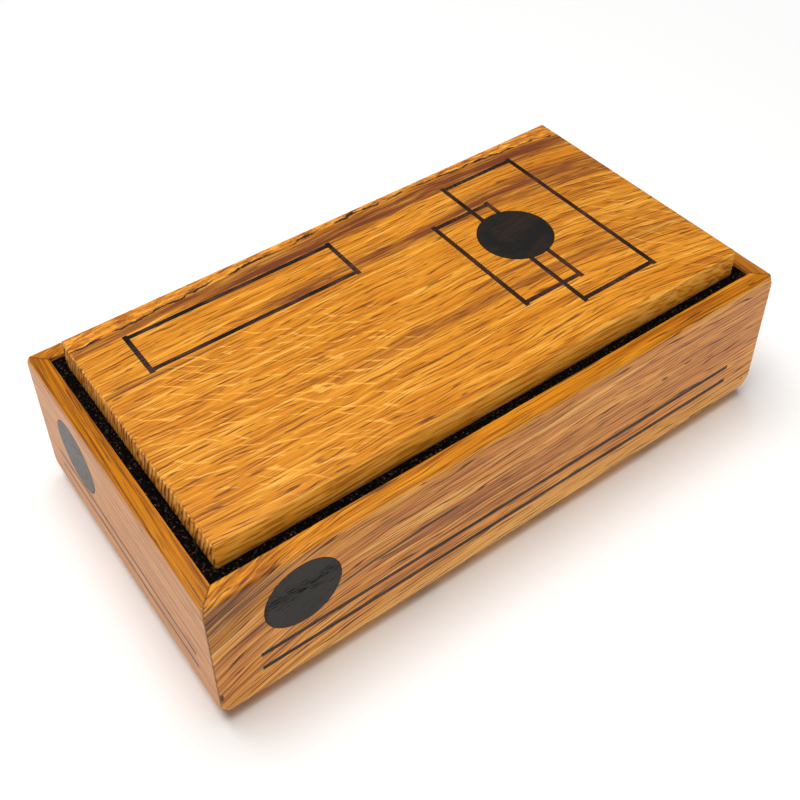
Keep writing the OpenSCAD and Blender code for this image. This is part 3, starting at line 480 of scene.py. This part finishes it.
# Bare planed hardwood of the hidden work: soft streaks of the species' own shade, and its flecks or pores as
# short dashes along the grain; waxed where a piece slides or turns
def planedWood(name, look):
    material, tree = newMaterial(name)
    place = addNode(tree, "TexCoord", out="Object")
    local = addNode(tree, "Mapping", {"Vector": place, "Scale": toMillimetres})
    along, across, through = [addNode(tree, "SeparateXYZ", {0: local}, out=axis) for axis in look["axes"]]
    plain = addNode(tree, "CombineXYZ", {0: along, 1: across, 2: through})
    streaks = addNode(tree, "Mapping", {"Vector": plain, "Scale": [1 / s for s in look["streakSize"]]})
    streaks = addNode(tree, "TexNoise", {"Vector": streaks, "Scale": 1, "Detail": 3, "Roughness": 0.55})
    colour = addNode(tree, "ValToRGB", {"Fac": streaks}, stops=look["shades"])
    dashes = addNode(tree, "Mapping", {"Vector": plain, "Scale": [1 / s for s in look["dashSize"]]})
    dashes = addNode(tree, "TexNoise", {"Vector": dashes, "Scale": 1, "Detail": 1})
    dashes = addNode(tree, "MapRange", {"Value": dashes, "From Min": look["dashFrom"],
                                        "From Max": look["dashFrom"] + look["dashSoft"]})
    tint = addNode(tree, "Math", {0: dashes, 1: look["dashStrength"]}, operation="MULTIPLY")
    colour = addNode(tree, "Mix", {0: tint, 6: colour, 7: look["dashShade"]}, out=2, data_type="RGBA")
    bump = addNode(tree, "Bump", {"Height": dashes, "Strength": look["bump"],
                                  "Distance": look["relief"] * mm}, invert=True)
    rough = addNode(tree, "MapRange", {"Value": streaks, "To Min": look["rough"][0],
                                       "To Max": look["rough"][1]})
    shader = addNode(tree, "BsdfPrincipled", {"Base Color": colour, "Roughness": rough, "IOR": woodIor,
                                              "Normal": bump})
    addNode(tree, "OutputMaterial", {"Surface": shader})
    return material


# flecks and pores of these woods are 0.1 to 0.2 mm wide and are drawn 0.3 mm wide, so that they show
beechLook = {"axes": (1, 0, 2), "streakSize": (40, 3, 3), "dashSize": (2.4, 0.35, 0.35), "dashFrom": 0.6,
             "dashSoft": 0.05, "dashStrength": 0.6, "dashShade": "#9c6840", "rough": (0.55, 0.7),
             "bump": 0.3, "relief": 0.04, "shades": [(0.3, "#c39068"), (0.5, "#d2a47c"), (0.7, "#dfb690")]}
mapleLook = dict(beechLook, streakSize=(30, 2, 2), dashSize=(5, 0.3, 0.3), dashFrom=0.64, dashStrength=0.35,
                 dashShade="#b08a58", rough=(0.33, 0.48),
                 shades=[(0.3, "#d3b07c"), (0.5, "#e1c595"), (0.7, "#ead3a8")])
walnutLook = dict(beechLook, axes=(2, 0, 1), streakSize=(25, 1.6, 1.6), dashSize=(3.5, 0.3, 0.3),
                  dashStrength=0.7, dashShade="#22140c", rough=(0.37, 0.52),
                  shades=[(0.3, "#3d2717"), (0.5, "#573722"), (0.7, "#6e4a2f")])
finishPiece(["lock_bed", "lock_cover", "left_rail", "right_rail", "front_spacer", "back_spacer"],
            planedWood("PlanedBeech", beechLook))
finishPiece(["front_bolt", "back_bolt", "lid_pinion"], planedWood("WaxedMaple", mapleLook))
finishPiece(["lid_spindle", "front_tongue", "left_tongue", "front_keeper", "left_keeper"],
            planedWood("PlanedWalnutUpright", walnutLook))
finishPiece(["front_spindle"], planedWood("PlanedWalnutFrontSpindle", dict(walnutLook, axes=(1, 0, 2))))
finishPiece(["left_spindle"], planedWood("PlanedWalnutLeftSpindle", dict(walnutLook, axes=(0, 1, 2))))


# Turned brass of the screws: warm metal, slightly dulled, with fine marks from the tool
def turnedBrass(name, look):
    material, tree = newMaterial(name)
    place = addNode(tree, "TexCoord", out="Object")
    local = addNode(tree, "Mapping", {"Vector": place, "Scale": toMillimetres})
    dull = addNode(tree, "TexNoise", {"Vector": local, "Scale": 1 / look["dullSize"], "Detail": 2})
    colour = addNode(tree, "ValToRGB", {"Fac": dull}, stops=look["shades"])
    marks = addNode(tree, "TexNoise", {"Vector": local, "Scale": 1 / look["markSize"], "Detail": 1})
    rough = addNode(tree, "MapRange", {"Value": dull, "From Min": look["dullSpan"][0],
                                       "From Max": look["dullSpan"][1], "To Min": look["rough"][0],
                                       "To Max": look["rough"][1]})
    bump = addNode(tree, "Bump", {"Height": marks, "Strength": look["bump"],
                                  "Distance": look["relief"] * mm})
    shader = addNode(tree, "BsdfPrincipled", {"Base Color": colour, "Roughness": rough, "Metallic": 1.0,
                                              "Normal": bump})
    addNode(tree, "OutputMaterial", {"Surface": shader})
    return material


# a turning tool leaves marks about 0.1 mm apart, drawn at 0.25 mm
brassLook = {"dullSize": 2.5, "dullSpan": (0.3, 0.7), "markSize": 0.25, "rough": (0.28, 0.43), "bump": 0.2,
             "relief": 0.02, "shades": [(0.3, "#a87f3e"), (0.7, "#d9b46a")]}
finishPiece(["cover_screws", "front_tongue_screw", "left_tongue_screw"],
            turnedBrass("TurnedBrass", brassLook))
print("inner work done")

# a pale floor that fades to plain white away from the box
studio = {"floorRadius": 12.0, "floorSides": 96, "fadeStart": 0.16, "fadeEnd": 0.6,
          "floorShade": "#fbfbfa", "floorRough": 0.9,
          "lampSize": 1.0, "lampPlace": (-0.16, 0.08, 1.4), "lampPower": 23.0,
          "skyHigh": 0.12, "skyLow": 1.0, "skyFrom": 0.10, "skyTo": 0.24}
bpy.ops.mesh.primitive_circle_add(vertices=studio["floorSides"], radius=studio["floorRadius"],
                                  fill_type="NGON")
floor = bpy.context.object
floor.name = "floor"
material, tree = newMaterial("PaleFloor")
place = addNode(tree, "TexCoord", out="Object")
away = addNode(tree, "VectorMath", {0: place}, out="Value", operation="LENGTH")
away = addNode(tree, "MapRange", {"Value": away, "From Min": studio["fadeStart"],
                                  "From Max": studio["fadeEnd"]}, interpolation_type="SMOOTHSTEP")
lit = addNode(tree, "BsdfPrincipled", {"Base Color": studio["floorShade"], "Roughness": studio["floorRough"],
                                       "Specular IOR Level": 0.0})
plain = addNode(tree, "Emission", {"Color": "#ffffff", "Strength": 1.0})
seen = addNode(tree, "LightPath", out="Is Camera Ray")
for kind in ("Is Glossy Ray", "Is Transmission Ray"):
    seen = addNode(tree, "Math", {0: seen, 1: addNode(tree, "LightPath", out=kind)}, operation="MAXIMUM")
away = addNode(tree, "Math", {0: away, 1: seen}, operation="MULTIPLY")
shader = addNode(tree, "MixShader", {0: away, 1: lit, 2: plain})
addNode(tree, "OutputMaterial", {"Surface": shader})
floor.data.materials.append(material)

# the sky is bright near the horizon and dim overhead, where one large soft lamp takes over
world = bpy.data.worlds.new("Studio")
bpy.context.scene.world = world
world.use_nodes = True
world.node_tree.nodes.clear()
tree = world.node_tree
place = addNode(tree, "TexCoord", out="Generated")
rise = addNode(tree, "SeparateXYZ", {0: place}, out=2)
sky = addNode(tree, "MapRange", {"Value": rise, "From Min": studio["skyFrom"], "From Max": studio["skyTo"],
                                 "To Min": studio["skyLow"], "To Max": studio["skyHigh"]},
              interpolation_type="SMOOTHSTEP")
shader = addNode(tree, "Background", {"Color": "#ffffff", "Strength": sky})
addNode(tree, "OutputWorld", {"Surface": shader})

lampData = bpy.data.lights.new("SoftBox", "AREA")
lampData.shape = "SQUARE"
lampData.size = studio["lampSize"]
lampData.energy = studio["lampPower"]
lamp = bpy.data.objects.new("SoftBox", lampData)
lamp.location = studio["lampPlace"]
lamp.rotation_euler = (-lamp.location).to_track_quat("-Z", "Y").to_euler()
bpy.context.scene.collection.objects.link(lamp)

# the camera looks down at the front left corner; angles in degrees, distances in metres
view = {"lens": 52.797, "shift": (0.05222, -0.1729), "azimuth": -33.496, "elevation": 40.127, "roll": -2.286,
        "distance": 0.46276, "slide": (-0.02021, 0.06761)}
azimuth = math.radians(view["azimuth"])
elevation = math.radians(view["elevation"])
roll = math.radians(view["roll"])
back = Vector((math.sin(azimuth) * math.cos(elevation), -math.cos(azimuth) * math.cos(elevation),
               math.sin(elevation)))
right = (-back).cross(Vector((0, 0, 1))).normalized()
up = right.cross(-back)
rightRolled = math.cos(roll) * right + math.sin(roll) * up
upRolled = math.cos(roll) * up - math.sin(roll) * right
cameraData = bpy.data.cameras.new("Camera")
cameraData.lens = view["lens"]
cameraData.shift_x, cameraData.shift_y = view["shift"]
camera = bpy.data.objects.new("Camera", cameraData)
spot = back * view["distance"] + rightRolled * view["slide"][0] + upRolled * view["slide"][1]
turn = Matrix((rightRolled, upRolled, back)).transposed().to_4x4()
camera.matrix_world = Matrix.Translation(spot) @ turn
bpy.context.scene.collection.objects.link(camera)
bpy.context.scene.camera = camera
bpy.context.scene.view_settings.view_transform = "Standard"
print("stage, light and camera done")
